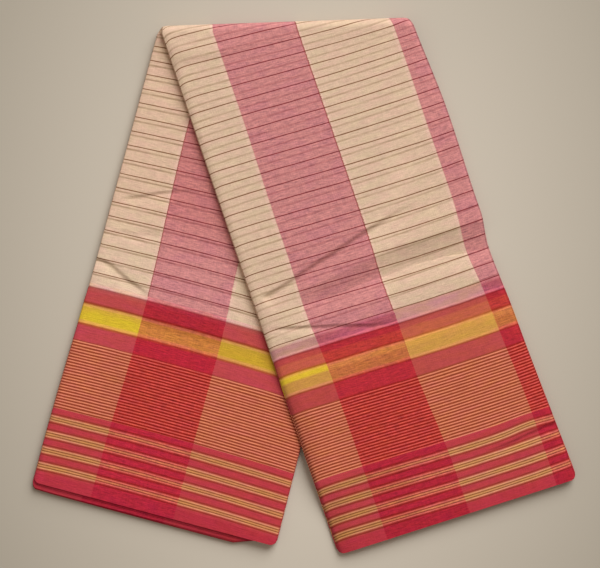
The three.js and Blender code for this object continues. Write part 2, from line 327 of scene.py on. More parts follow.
class SareeColours(bpy.types.PropertyGroup):
    """Colours of the yarns and of the floor."""

    cream: colour("Cream", "Cream warp in the body", (219, 186, 158))
    pink: colour("Pink", "Pink warp in the body", (205, 134, 130))
    line_on_cream: colour("Line on cream", "Rust line over the cream stripe", (126, 82, 49))
    line_on_pink: colour("Line on pink", "Rust line over the pink stripe", (127, 42, 46))
    floor: colour("Floor", "Surface the saree lies on", (219, 206, 188))
    # Painted dimming of the floor away from its painted pool of light in the middle.
    floor_painted_dim: colour("Floor further out", "The same surface away from the middle", (167, 157, 141))



class StageSizes(bpy.types.PropertyGroup):
    """The camera and the lights."""

    camera_height: length("Camera height", "Height above the cloth", 3.2)
    view_width: length("View width", "Width that is seen at the cloth's height", 672 * MM)
    key_power: FloatProperty(
        name="Key light", description="Power of the key light, in watts", default=1013.0
    )
    fill_strength: FloatProperty(
        name="Fill light", description="Strength of the even light", default=0.40
    )


# ---- Plan of a leg -----------------------------------------------------------------------------


def smoothstep(value, start, end):
    """0 before start, 1 after end, and an easy rise between."""
    share = np.clip((np.asarray(value, float) - start) / (end - start), 0, 1)
    return share * share * (3 - 2 * share)


def bow_at(bow, share):
    """How far an edge bows out at a share of its run."""
    along = bow["along"]
    out = bow["out_mm"]
    total = np.full(np.shape(share), float(out[0]))
    for i in range(1, len(along)):
        total = total + (out[i] - out[i - 1]) * smoothstep(share, along[i - 1], along[i])
    return total * MM


def edge_point(crease_corner, hem_corner, bow, out_sign, along):
    """Points on an edge, where along runs from 0 at the turn's foot to 1 at the hem."""
    run = hem_corner - crease_corner
    outward = out_sign * np.array([-run[1], run[0]]) / np.linalg.norm(run)
    foot = TURN_RADIUS / run.dot(toward_hem)
    share = foot + (1 - foot) * along
    return crease_corner + share[..., None] * run + bow_at(bow, share)[..., None] * outward


def plan_point(leg, across, along):
    """Plan points of a leg, where across runs from 0 at its left edge to 1 at its right."""
    across, along = np.broadcast_arrays(across, along)
    left = edge_point(CREASE_LEFT, leg["hem_left"], leg["left_bow"], -1, along)
    right = edge_point(CREASE_RIGHT, leg["hem_right"], leg["right_bow"], 1, along)
    return left + across[..., None] * (right - left)


# ---- Heights -----------------------------------------------------------------------------------


def right_of_under_leg(plan):
    """Distance of plan points to the right of the under leg's right side."""
    run = UNDER_LEG["hem_right"] - CREASE_RIGHT
    run = run / np.linalg.norm(run)
    offset = plan - CREASE_RIGHT
    return offset[..., 1] * run[0] - offset[..., 0] * run[1]


def over_base(plan):
    """Height that the over leg rests on: the under leg's top, the floor, or the slope between."""
    return (LEG_HEIGHT + GAP) * (1 - smoothstep(right_of_under_leg(plan), DROP_START, DROP_END))


def line_distance(plan, points_mm):
    """Distance of plan points to a line through points, with its side and its share along."""
    points = np.array(points_mm, float) * MM
    steps = np.linalg.norm(np.diff(points, axis=0), axis=1)
    total = steps.sum()
    best = np.full(plan.shape[:-1], np.inf)
    side = np.zeros(plan.shape[:-1])
    share = np.zeros(plan.shape[:-1])
    done = 0.0
    for start, end, step in zip(points[:-1], points[1:], steps):
        run = (end - start) / step
        offset = plan - start
        along = np.clip(offset @ run, 0, step)
        away = offset - along[..., None] * run
        distance = np.linalg.norm(away, axis=-1)
        nearer = distance < best
        best = np.where(nearer, distance, best)
        side = np.where(nearer, np.sign(run[0] * offset[..., 1] - run[1] * offset[..., 0]), side)
        share = np.where(nearer, (done + along) / total, share)
        done += step
    return best, side, share


def fading(crease, share):
    """How much of a crease's depth is left at shares along its run."""
    start, end = crease["fade"]
    fade = smoothstep(share, 0, start) if start else np.ones_like(share)
    return fade * (1 - smoothstep(share, 1 - end, 1)) if end else fade


def groove(crease, plan):
    """Height of one crease at plan points, 0 at its edges."""
    distance, side, share = line_distance(plan, crease["points"])
    signed = side * distance + crease["ahead"] * MM
    left, right = [
        (start + (end - start) * share) * MM for start, end in (crease["left"], crease["right"])
    ]
    falling = 1 - np.clip(signed / left, 0, 1) ** crease["lip"]
    rounded = np.hypot(signed, crease.get("round", BOTTOM_ROUND) * MM)
    rising = np.clip(1 - rounded / right, 0, 1) ** 2
    return -crease["depth"] * MM * fading(crease, share) * np.where(signed > 0, falling, rising)


def hidden_sag(creases, plan):
    """How far the top hidden layer lies lower, as deep as the creases go close by."""
    around = plan[None] + SAG_STEPS[:, None]
    height = sum(groove(crease, around) for crease in creases)
    return np.clip(-height.min(axis=0), 0, MOST_SAG)


def wander(plan, wavelength, seed):
    """Smooth, even noise from -1 to 1 over plan points."""
    flat = plan.reshape(-1, 2) / wavelength
    values = [noise.noise(Vector((x, y, seed))) for x, y in flat]
    return np.array(values).reshape(plan.shape[:-1])


def surface_wander(plan, seed):
    """The small unevenness of cloth that has lain folded."""
    total = 0.0
    for height, wavelength, more in UNEVENNESS:
        total = total + height * wander(plan, wavelength * MM, seed + more)
    return total * MM


def showing_height(base, creases, plan, seed):
    """Top of a leg's showing layer, over what the leg rests on."""
    height = base + LEG_HEIGHT + surface_wander(plan, seed)
    for crease in creases:
        height = height + groove(crease, plan)
    return height


# ---- Mesh code ---------------------------------------------------------------------------------


def grid_normals(points):
    """Unit normals of a grid, upwards where rows run to the hem and columns to the right."""
    rows = np.gradient(points, axis=0)
    columns = np.gradient(points, axis=1)
    normals = np.cross(rows, columns)
    return normals / np.linalg.norm(normals, axis=-1, keepdims=True)


def rim(indices):
    """A grid's border as one loop."""
    down_and_right = [indices[:-1, 0], indices[-1, :-1]]
    return np.concatenate([*down_and_right, indices[:0:-1, -1], indices[0, :0:-1]])


def cloth_object(name, outer, thickness, uv_maps):
    """A closed shell of cloth: the grid is its outer face, its inner face one thickness in."""
    normals = grid_normals(outer)
    inner = outer - thickness * normals
    rows, columns = outer.shape[:2]
    count = rows * columns
    top = np.arange(count).reshape(rows, columns)
    bottom = top + count
    cells = []
    for grid, flip in ((top, False), (bottom, True)):
        corners = [grid[:-1, :-1], grid[1:, :-1], grid[1:, 1:], grid[:-1, 1:]]
        if flip:
            corners.reverse()
        cells.append(np.stack([corner.ravel() for corner in corners], axis=1))
    upper = rim(top)
    lower = rim(bottom)
    cells.append(np.stack([lower, np.roll(lower, -1), np.roll(upper, -1), upper], axis=1))
    faces = np.concatenate(cells)
    points = np.concatenate([outer.reshape(-1, 3), inner.reshape(-1, 3)])
    mesh = bpy.data.meshes.new(name)
    mesh.vertices.add(len(points))
    mesh.vertices.foreach_set("co", points.ravel())
    mesh.loops.add(faces.size)
    mesh.loops.foreach_set("vertex_index", faces.ravel())
    mesh.polygons.add(len(faces))
    mesh.polygons.foreach_set("loop_start", np.arange(0, faces.size, 4))
    mesh.update(calc_edges=True)
    for map_name, values in uv_maps.items():
        layer = mesh.uv_layers.new(name=map_name)
        both = np.concatenate([values.reshape(-1, 2)] * 2)
        layer.data.foreach_set("uv", both[faces.ravel()].astype(np.float32).ravel())
    mesh.validate()
    piece = bpy.data.objects.new(name, mesh)
    bpy.context.collection.objects.link(piece)
    bpy.ops.object.select_all(action="DESELECT")
    piece.select_set(True)
    bpy.context.view_layer.objects.active = piece
    bpy.ops.object.shade_smooth_by_angle(angle=SMOOTH_ANGLE)
    return piece


# ---- How the weave lies on each leg ------------------------------------------------------------


def weave_frame(plan, lie):
    """Distances to the right and down a leg, in mm."""
    angle = math.radians(lie["degrees"])
    offset = plan / MM - np.array(lie["origin"])
    right = offset @ np.array([math.cos(angle), math.sin(angle)])
    down = offset @ np.array([math.sin(angle), -math.cos(angle)])
    return right, down


def hump(value, middle, reach):
    """1 at the middle, and less and less on both sides."""
    return np.exp(-(((value - middle) / reach) ** 2))


def stripe_edges(lie, down, pinched):
    """Places of a leg's three stripe edges, to the right in mm."""
    places = []
    for edge in lie["edges"]:
        place = edge["right"] + edge["pinch"] * pinched
        for drift, start, end in edge["drifts"]:
            place = place + drift * smoothstep(down, start, end)
        places.append(place)
    return places


def stripe_place(right, edges):
    """Distance across the cloth, in mm, where the warp's stripes meet a leg's stripe edges."""
    first, second, third = edges
    marks = (PINK_START / MM, (PINK_START + PINK_WIDTH) / MM, (PINK_START + STRIPE_REPEAT) / MM)
    place = marks[0] + right - first
    inner = marks[0] + (right - first) * (marks[1] - marks[0]) / (second - first)
    place = np.where(right > first, inner, place)
    outer = marks[1] + (right - second) * (marks[2] - marks[1]) / (third - second)
    place = np.where(right > second, outer, place)
    return np.where(right > third, marks[2] + right - third, place)


def cloth_map(lie, right, down, pinched, lift):
    """Cloth coordinates, in metres from a leg's fold and from its selvedge."""
    across = stripe_place(right, stripe_edges(lie, down, pinched))
    return np.stack([across * MM, (lie["selvedge"] - (down - lift)) * MM], axis=-1)


def over_weave(plan):
    """Cloth coordinates of the over leg's showing face."""
    lie = OVER_WEAVE
    right, down = weave_frame(plan, lie)
    sway, slant, side, tuck, bulge, pinch = [
        lie[name] for name in ("sway", "slant", "side", "tuck", "bulge", "pinch")
    ]
    wave = np.sin(math.pi * (right - sway["start"]) / sway["half_wave"])
    lift = sway["height"] * wave + sway["level"]
    body = 1 - smoothstep(down, *lie["body_ends"])
    slope = slant["least"] + slant["near_turn"] * (1 - smoothstep(down, *slant["until"]))
    lift = lift + body * slope * (right - slant["middle"])
    lift = lift + bulge["height"] * hump(down, bulge["down"], bulge["reach"])
    tucked = hump(down, tuck["down"], tuck["down_reach"])
    lift = lift - tuck["depth"] * tucked * hump(right, tuck["right"], tuck["reach"])
    rolled_in = side["near_turn"] * (1 - smoothstep(down, *side["until"])) + side["least"]
    lift = lift + rolled_in * np.exp(-np.maximum(0, right - side["right"]) / side["reach"])
    return cloth_map(lie, right, down, hump(down, pinch["down"], pinch["reach"]), lift)


def under_weave(plan):
    """Cloth coordinates of the under leg's showing face."""
    lie = UNDER_WEAVE
    right, down = weave_frame(plan, lie)
    sway, slant = lie["sway"], lie["slant"]
    lift = sway["height"] * ((right - sway["middle"]) / sway["reach"]) ** 2
    slope = slant["rate"] * np.maximum(0, slant["until"] - down)
    lift = lift + slope * (right - slant["middle"])
    return cloth_map(lie, right, down, np.zeros_like(down), lift)


def beneath(lie, places, plan):
    """Cloth coordinates of the layer under a showing one."""
    right, down = weave_frame(plan, lie)
    moved = lie["beneath"]
    slide = moved["slide"] + down * (moved["turn"] + moved["spread"] * right)
    return np.stack([places[..., 0], places[..., 1] - slide * MM], axis=-1)


# ---- Materials ---------------------------------------------------------------------------------


class Weave:
    """Nodes of one cloth material. Lengths in it are metres of cloth."""

    def __init__(self, name):
        self.material = bpy.data.materials.new(name)
        self.material.use_nodes = True
        self.nodes = self.material.node_tree.nodes
        self.links = self.material.node_tree.links
        self.nodes.clear()

    def node(self, kind, **settings):
        """A node with its settings."""
        made = self.nodes.new(kind)
        for key, value in settings.items():
            setattr(made, key, value)
        return made

    def feed(self, socket, value):
        """Links a socket to another node's output, or sets it to a value."""
        if isinstance(value, bpy.types.NodeSocket):
            self.links.new(value, socket)
        else:
            socket.default_value = value

    def math(self, operation, *values):
        """One sum."""
        made = self.node("ShaderNodeMath", operation=operation)
        for socket, value in zip(made.inputs, values):
            self.feed(socket, value)
        return made.outputs[0]

    def plus(self, first, second):
        """Two values added."""
        return self.math("ADD", first, second)

    def minus(self, first, second):
        """The second value taken from the first."""
        return self.math("SUBTRACT", first, second)

    def rest(self, share):
        """What a share leaves of 1."""
        return self.minus(1.0, share)

    def times(self, *values):
        """The product of several values."""
        total = values[0]
        for value in values[1:]:
            total = self.math("MULTIPLY", total, value)
        return total

    def blend(self, *parts):
        """A sum of products, such as values with their weights."""
        total = self.times(*parts[0])
        for part in parts[1:]:
            total = self.plus(total, self.times(*part))
        return total

    def centred(self, grain):
        """A grain that runs from 0 to 1 made to run about 0."""
        return self.minus(grain, 0.5)

    def ease(self, value, start, end):
        """0 before start, 1 after end."""
        made = self.node("ShaderNodeMapRange", interpolation_type="SMOOTHSTEP")
        self.feed(made.inputs["Value"], value)
        self.feed(made.inputs["From Min"], start)
        self.feed(made.inputs["From Max"], end)
        return made.outputs["Result"]

    def near(self, value, place, whole, none):
        """1 where a value is within one distance of a place, 0 past a second one."""
        away = self.math("ABSOLUTE", self.minus(value, place))
        return self.rest(self.ease(away, whole, none))

    def stretch(self, value, start, end, blur):
        """1 between two places, 0 outside them, each with some blur on both sides."""
        after_start = self.ease(value, start - blur, start + blur)
        return self.minus(after_start, self.ease(value, end - blur, end + blur))

    def mix(self, share, first, second, blend="MIX"):
        """Two colours mixed."""
        made = self.node("ShaderNodeMix", data_type="RGBA", blend_type=blend)
        factor, colour_a, colour_b = made.inputs[0], made.inputs[6], made.inputs[7]
        self.feed(factor, share)
        self.feed(colour_a, first)
        self.feed(colour_b, second)
        return made.outputs[2]

    def tinted(self, tone, tint, share=1.0):
        """A colour multiplied by another."""
        return self.mix(share, tone, tint, "MULTIPLY")

    def cloth_place(self, map_name):
        """Distances across and from the selvedge on one of the piece's cloth maps."""
        place = self.node("ShaderNodeUVMap", uv_map=map_name)
        split = self.node("ShaderNodeSeparateXYZ")
        self.links.new(place.outputs["UV"], split.inputs[0])
        return split.outputs["X"], split.outputs["Y"]

    def streaks(self, across, down, grain):
        """Noise from 0 to 1 in one of the grains."""
        across_mm, down_mm, detail = GRAINS[grain]
        place = self.node("ShaderNodeCombineXYZ")
        self.feed(place.inputs["X"], self.math("DIVIDE", across, across_mm * MM))
        self.feed(place.inputs["Y"], self.math("DIVIDE", down, down_mm * MM))
        made = self.node("ShaderNodeTexNoise", noise_dimensions="2D")
        self.links.new(place.outputs[0], made.inputs["Vector"])
        made.inputs["Scale"].default_value = 1.0
        made.inputs["Detail"].default_value = detail
        return made.outputs["Fac"]

    def bands(self, value, tones, reach_mm):
        """Colours along the cloth. Each tone is a place in mm and a colour as seen on a screen."""
        ramp = self.node("ShaderNodeValToRGB")
        self.feed(ramp.inputs[0], self.math("DIVIDE", value, reach_mm * MM))
        elements = ramp.color_ramp.elements
        elements.remove(elements[1])
        for i, (place, tone) in enumerate(tones):
            element = elements[0] if i == 0 else elements.new(place / reach_mm)
            element.position = place / reach_mm
            element.color = screen(tone)
        return ramp.outputs["Color"]

    def repeat(self, value, start, step):
        """Distance since the last of a row of marks, from 0 to one step."""
        return self.math("MODULO", self.minus(value, start), step)

    def line(self, value, start, step, width):
        """1 on thin lines that repeat, 0 between them. The first lies at start."""
        since = self.repeat(value, start - step / 2 - BEFORE * step, step)
        return self.near(since, step / 2, width * 0.25, width * 0.75)

    def surface(self, tone, roughness, specular):
        """The matt surface that the material ends in."""
        shader = self.node("ShaderNodeBsdfPrincipled")
        self.feed(shader.inputs["Base Color"], tone)
        shader.inputs["Roughness"].default_value = roughness
        shader.inputs["Specular IOR Level"].default_value = specular
        output = self.node("ShaderNodeOutputMaterial")
        self.links.new(shader.outputs[0], output.inputs["Surface"])
        return shader


def rgba(value):
    """A linear colour setting with full opacity."""
    return (*value, 1.0)


def screen(seen):
    """A colour as seen on a screen, from 0 to 255, as linear light with full opacity."""
    return rgba(linear_light(seen))


# ---- Yarns -------------------------------------------------------------------------------------

# Repeats before the first mark, so that no distance is below 0.
BEFORE = 40
STRIPES_BEFORE = 20
GOLD_BEFORE = 10.5  # half a step off, so that a group lies midway between two marks
# Grains of uneven yarn: size across and down the cloth in mm, and detail.
GRAINS = {
    "weft slub": (11, 1.0, 2.0),
    "warp slub": (1.3, 10, 2.0),
    "dashes": (7, 1.7, 3.0),
    "cloud": (34, 20, 3.0),
    "beat": (60, 12, 2.0),
    "tint": (24, 9, 3.0),
}
TONES = {
    "lilac": (186, 112, 124),
    "straw": (216, 192, 154),
    "blush": (224, 180, 160),
    "pale yarn": (240, 192, 176),
    "dark yarn": (146, 44, 46),
    "ghost on cream": (164, 132, 102),
    "ghost on pink": (160, 88, 88),
    "fine line on cream": (232, 136, 104),
    "fine line on pink": (220, 88, 78),
}
# Painted shade: the body is tinted warmer and darker near the crook, where the over leg shades it,
# rising between these distances from the selvedge.
CROOK_PAINTED_SHADE = (0.91, 0.80, 0.77, 1.0)
CROOK_START = 265 * MM  # from the selvedge
CROOK_END = 345 * MM
BEAT_SWAY = 1.1 * MM  # how far uneven beating moves the weft
RAGGED_WARP = 2.0 * MM
THREAD_PITCH = 0.62 * MM
RELIEF_DEPTH = 0.5 * MM
RELIEF_STRENGTH = 0.8
COTTON_TONE = 0.93  # brightness of the cloth as a whole
UNDER_TONE = 0.945
GHOST_WIDTH = 1.9  # a line that shows through, against a line on top
HUE_TO_GREEN = -0.2
HUE_TO_BLUE = 0.4

# ---- The border --------------------------------------------------------------------------------
# Bands of weft from the selvedge up: first and last mm, then the colour as seen on a screen over
# the left cream, the pink and the right cream warp.

BORDER_REACH_MM = 250.0
BORDER_BLUR = 0.2 * MM
MIDDLE_START = 90 * MM  # across, where the right cream warp's tones take over from the left's
MIDDLE_END = 110 * MM
FINE_START = 84.4 * MM
FINE_END = 163.6 * MM
FINE_EASE = (-0.3, 0.75)  # of a wave from -1 to 1, where a fine line begins and is whole
GOLD_REACH_MM = 8.0
GOLD_HALF_MM = 6.6
GOLD_GROUPS = 4

OVER_BORDER = {
    "end_mm": 242.3,
    "ghost": 0.95,
    "dark_yarn": PINK_WIDTH - 0.3 * MM,
    # How strong the painted shade along the folded sides is.
    "painted_side_shade": 0.36,
    "body_lift": (1.0, 1.0, 1.0, 1.0),
    # How strong the painted warm shade near the crook is.
    "crook_painted_shade": 0.0,
    "gold_lift": ((1.0, 0.94, 1.0, 1.0), (1.13, 1.10, 1.28, 1.0)),
    "fine": {"first_mm": 161.7, "step_mm": 3.33},
    "gold": {"first_mm": 17.5, "step_mm": 17.85},
    "bands": (
        ("hem", 0, 9.5, (184, 53, 64), (174, 36, 52), (186, 55, 65)),
        ("plain red", 12.5, 84.0, (189, 64, 71), (180, 38, 56), (190, 63, 69)),
        ("ground of the fine lines", 84.7, 163.4, (152, 66, 40), (150, 30, 22), (152, 66, 40)),
        ("red", 164.9, 182.4, (187, 72, 69), (185, 45, 55), (188, 77, 72)),
        ("dark line", 183.3, 184.2, (160, 66, 40), (162, 40, 32), (166, 74, 42)),
        ("light line", 185.2, 186.2, (224, 142, 98), (218, 104, 78), (226, 154, 90)),
        ("gold", 188.0, 197.5, (205, 147, 72), (193, 110, 62), (206, 151, 73)),
        ("yellow", 200.0, 203.8, (227, 189, 52), (208, 126, 69), (216, 156, 76)),
        ("light line", 204.8, 205.4, (234, 178, 76), (228, 128, 86), (240, 164, 94)),
        ("dark line", 207.2, 207.8, (176, 94, 34), (162, 50, 30), (182, 94, 48)),
        ("brick red", 209.3, 218.5, (200, 94, 72), (189, 60, 53), (196, 97, 70)),
        ("crimson", 220.5, 224.8, (189, 74, 70), (180, 45, 54), (186, 80, 72)),
        ("dark line", 226.2, 226.8, (156, 58, 56), (152, 34, 42), (146, 56, 50)),
        ("pale line", 228.2, 229.0, (226, 158, 150), (224, 112, 124), (228, 152, 144)),
        ("mauve", 230.8, 238.6, (192, 138, 126), (178, 88, 100), (201, 143, 133)),
        ("pale mauve", 240.8, 241.8, (220, 180, 156), (200, 116, 122), (204, 148, 132)),
    ),
}
UNDER_BORDER = {
    "end_mm": 230.4,
    "ghost": 1.35,
    "dark_yarn": 0.5 * MM,
    # How strong the painted shade along the folded sides is.
    "painted_side_shade": 0.12,
    "body_lift": (1.06, 1.08, 1.09, 1.0),
    # How strong the painted warm shade near the crook is.
    "crook_painted_shade": 1.0,
    "gold_lift": ((1.12, 1.03, 1.17, 1.0), (1.14, 1.0, 1.19, 1.0)),
    "fine": {"first_mm": 162.6, "step_mm": 3.27},
    "gold": {"first_mm": 17.8, "step_mm": 18.13},
    "bands": (
        ("hem", 0, 8.0, (186, 52, 66), (180, 38, 58), (182, 50, 62)),
        ("plain red", 11.0, 84.0, (190, 60, 68), (187, 40, 59), (190, 60, 68)),
        ("ground of the fine lines", 84.7, 163.4, (152, 64, 40), (150, 30, 22), (152, 64, 40)),
        ("red", 165.2, 181.2, (193, 71, 77), (186, 39, 55), (193, 71, 77)),
        ("dark line", 182.8, 183.8, (176, 82, 46), (175, 54, 40), (176, 82, 46)),
        ("light line", 185.2, 186.2, (238, 172, 86), (226, 124, 82), (222, 158, 80)),
        ("yellow", 188.5, 196.5, (219, 185, 49), (206, 128, 62), (204, 162, 48)),
        ("gold", 200.5, 202.5, (214, 174, 56), (188, 112, 52), (198, 154, 52)),
        ("light line", 203.9, 204.9, (222, 160, 82), (200, 102, 74), (214, 152, 80)),
        ("dark line", 206.8, 207.6, (156, 64, 36), (146, 32, 26), (156, 64, 36)),
        ("brick red", 209.4, 220.5, (190, 74, 74), (176, 40, 52), (190, 74, 74)),
        ("crimson", 222.0, 224.0, (186, 80, 78), (180, 46, 60), (186, 80, 78)),
        ("dark line", 225.0, 225.8, (166, 84, 76), (166, 52, 60), (166, 84, 76)),
        ("pale line", 227.2, 229.2, (232, 184, 162), (220, 130, 130), (232, 184, 162)),
    ),
}
# One group of gold stripes, from its middle line outwards.
GOLD_OVER_CREAM = (
    (0.0, (206, 146, 86)), (0.6, (192, 132, 76)), (1.35, (112, 58, 30)), (2.1, (190, 126, 76)),
    (2.8, (222, 156, 108)), (3.4, (198, 122, 86)), (4.1, (166, 72, 54)), (5.2, (140, 44, 32)),
    (5.8, (160, 60, 50)), (7.0, (184, 68, 68)),
)
GOLD_OVER_PINK = (
    (0.0, (212, 130, 84)), (0.6, (200, 114, 76)), (1.35, (114, 38, 26)), (2.1, (190, 90, 68)),
    (2.8, (220, 114, 92)), (3.4, (192, 80, 66)), (4.1, (158, 46, 42)), (5.2, (140, 26, 26)),
    (5.8, (160, 36, 40)), (7.0, (181, 42, 54)),
)


def border_ramp(border, column):
    """Places and colours of the bands over one warp stripe, each flat from first to last mm."""
    tones = []
    for band in border["bands"]:
        tones.append((band[1], band[column]))
        tones.append((band[2], band[column]))
    return tones


def border_tones(weave, border, across, down, in_pink):
    """Colours of the border: plain bands, fine light lines, and gold stripes in threes."""
    left, pink, right = [
        weave.bands(down, border_ramp(border, column), BORDER_REACH_MM) for column in (3, 4, 5)
    ]
    past_middle = weave.ease(across, MIDDLE_START, MIDDLE_END)
    tone = weave.mix(in_pink, weave.mix(past_middle, left, right), pink)

    first, step = [border["fine"][key] * MM for key in ("first_mm", "step_mm")]
    wave = weave.math("COSINE", weave.times(weave.minus(down, first), 2 * math.pi / step))
    in_fine = weave.stretch(down, FINE_START, FINE_END, BORDER_BLUR)
    line_tone = weave.mix(
        in_pink, screen(TONES["fine line on cream"]), screen(TONES["fine line on pink"])
    )
    tone = weave.mix(weave.times(in_fine, weave.ease(wave, *FINE_EASE)), tone, line_tone)

    first, step = [border["gold"][key] * MM for key in ("first_mm", "step_mm")]
    half = GOLD_HALF_MM * MM
    since = weave.repeat(down, first - GOLD_BEFORE * step, step)
    away = weave.math("ABSOLUTE", weave.minus(since, step / 2))
    over_cream, over_pink = [
        weave.bands(away, tones, GOLD_REACH_MM) for tones in (GOLD_OVER_CREAM, GOLD_OVER_PINK)
    ]
    lift = weave.mix(past_middle, *border["gold_lift"])
    stripes = weave.tinted(weave.mix(in_pink, over_cream, over_pink), lift)
    last = first + (GOLD_GROUPS - 1) * step
    zone = weave.stretch(down, first - half, last + half, BORDER_BLUR)
    in_group = weave.rest(weave.ease(away, half - 2 * BORDER_BLUR, half))
    return weave.mix(weave.times(zone, in_group), tone, stripes)


def painted_shade_at_sides(weave, strength):
    """Painted shade: less than 1 along the right fold, and along the left one near the hem, where
    shade falls on the folded sides.
    """
    from_left, from_hem = weave.cloth_place("side")
    on_right = weave.near(from_left, LEG_WIDTH, 0.3 * MM, 2.0 * MM)
    on_left = weave.near(from_left, 0.0, 0.5 * MM, 5.0 * MM)
    low = weave.rest(weave.ease(from_hem, 110 * MM, 300 * MM))
    most = weave.math("MAXIMUM", on_right, weave.times(on_left, low))
    return weave.rest(weave.times(most, strength))


def warp_stripes(weave, across, border):
    """Shares of the pink warp, of the dark yarn at its far edge and of the pale yarns beside it."""
    since_pink = weave.repeat(across, PINK_START - STRIPES_BEFORE * STRIPE_REPEAT, STRIPE_REPEAT)
    past_pink = weave.ease(since_pink, PINK_WIDTH - 0.4 * MM, PINK_WIDTH + 0.4 * MM)
    in_pink = weave.minus(weave.ease(since_pink, 0.0, 1.0 * MM), past_pink)
    dark_yarn = weave.near(since_pink, border["dark_yarn"], 0.25 * MM, 1.0 * MM)
    pale_far = weave.near(since_pink, PINK_WIDTH + 1.6 * MM, 0.4 * MM, 1.3 * MM)
    pale_near = weave.ease(since_pink, STRIPE_REPEAT - 4.5 * MM, STRIPE_REPEAT - 0.8 * MM)
    return in_pink, dark_yarn, weave.math("MAXIMUM", pale_far, pale_near)


def plain_body(weave, grain, warp, down, border):
    """Colours of the body without its lines, in patches of slightly different yarn, with a painted
    warm shade near the crook.
    """
    colours = bpy.context.scene.saree_colours
    in_pink, dark_yarn, pale_yarn = warp
    in_cream = weave.rest(in_pink)
    lilac = weave.times(weave.ease(grain["cloud"], 0.42, 0.68), in_pink, 0.35)
    straw = weave.times(weave.ease(grain["tint"], 0.5, 0.68), in_cream, 0.35)
    blush = weave.times(weave.ease(grain["tint"], 0.5, 0.32), in_cream, 0.35)
    body = weave.mix(in_pink, rgba(colours.cream), rgba(colours.pink))
    for name, share in (("lilac", lilac), ("straw", straw), ("blush", blush)):
        body = weave.mix(share, body, screen(TONES[name]))
    body = weave.tinted(body, border["body_lift"])
    # Painted shade near the crook: darker and warmer there, more on the pink.
    crook_shade_share = weave.times(weave.ease(down, CROOK_START, CROOK_END), border["crook_painted_shade"])
    crook_shade_share = weave.times(crook_shade_share, weave.plus(0.4, weave.times(in_pink, 0.5)))
    body = weave.tinted(body, CROOK_PAINTED_SHADE, crook_shade_share)
    body = weave.mix(weave.times(pale_yarn, 0.45), body, screen(TONES["pale yarn"]))
    return weave.mix(weave.times(dark_yarn, 0.75), body, screen(TONES["dark yarn"]))


def with_rust_lines(weave, grain, in_pink, body, down, line_pitch):
    """The body with its rust lines and those of the layer beneath, and the share of the lines."""
    colours = bpy.context.scene.saree_colours
    width = bpy.context.scene.saree_sizes.line_width
    _, down_beneath = weave.cloth_place("beneath")
    rust = weave.line(down, BORDER_DEPTH, line_pitch, width)
    ghost = weave.line(down_beneath, BORDER_DEPTH, line_pitch, GHOST_WIDTH * width)
    ghost_tones = [screen(TONES[name]) for name in ("ghost on cream", "ghost on pink")]
    body = weave.mix(weave.times(ghost, grain["ghost"]), body, weave.mix(in_pink, *ghost_tones))
    line_tone = weave.mix(in_pink, rgba(colours.line_on_cream), rgba(colours.line_on_pink))
    uneven = weave.times(rust, weave.plus(0.75, weave.times(grain["weft slub"], 0.6)))
    return weave.mix(weave.math("MINIMUM", uneven, 1.0), body, line_tone), rust


def yarn_shade(weave, grain, mottle, in_pink, in_body, brightness):
    """Yarn to yarn and cloudy differences, strongest where pink and cream yarns cross, times a
    brightness that carries the painted shade along the folds.
    """
    uneven = weave.centred(mottle)
    shade = weave.plus(1.0, weave.times(uneven, weave.plus(0.75, weave.times(in_pink, 0.95))))
    shade = weave.times(shade, weave.plus(0.94, weave.times(grain["cloud"], 0.12)), brightness)
    cooler = weave.times(uneven, in_pink, -0.22)
    hue = weave.times(weave.centred(grain["tint"]), weave.rest(in_body))
    made = weave.node("ShaderNodeCombineColor")
    weave.feed(made.inputs["Red"], shade)
    weave.feed(made.inputs["Green"], weave.plus(shade, weave.times(hue, HUE_TO_GREEN)))
    blue = weave.plus(weave.plus(shade, cooler), weave.times(hue, HUE_TO_BLUE))
    weave.feed(made.inputs["Blue"], blue)
    return made.outputs[0]


def weave_relief(weave, across, down, mottle, rust):
    """Relief of the plain weave, of slubs and of the lines' thicker yarns."""
    thread = 2 * math.pi / THREAD_PITCH
    warp_wave, weft_wave = [
        weave.math("SINE", weave.times(place, thread)) for place in (across, down)
    ]
    relief = weave.blend((warp_wave, weft_wave, 0.10), (mottle, 1.3), (rust, 0.12))
    bump = weave.node("ShaderNodeBump")
    bump.inputs["Strength"].default_value = RELIEF_STRENGTH
    bump.inputs["Distance"].default_value = RELIEF_DEPTH
    weave.feed(bump.inputs["Height"], relief)
    return bump.outputs["Normal"]


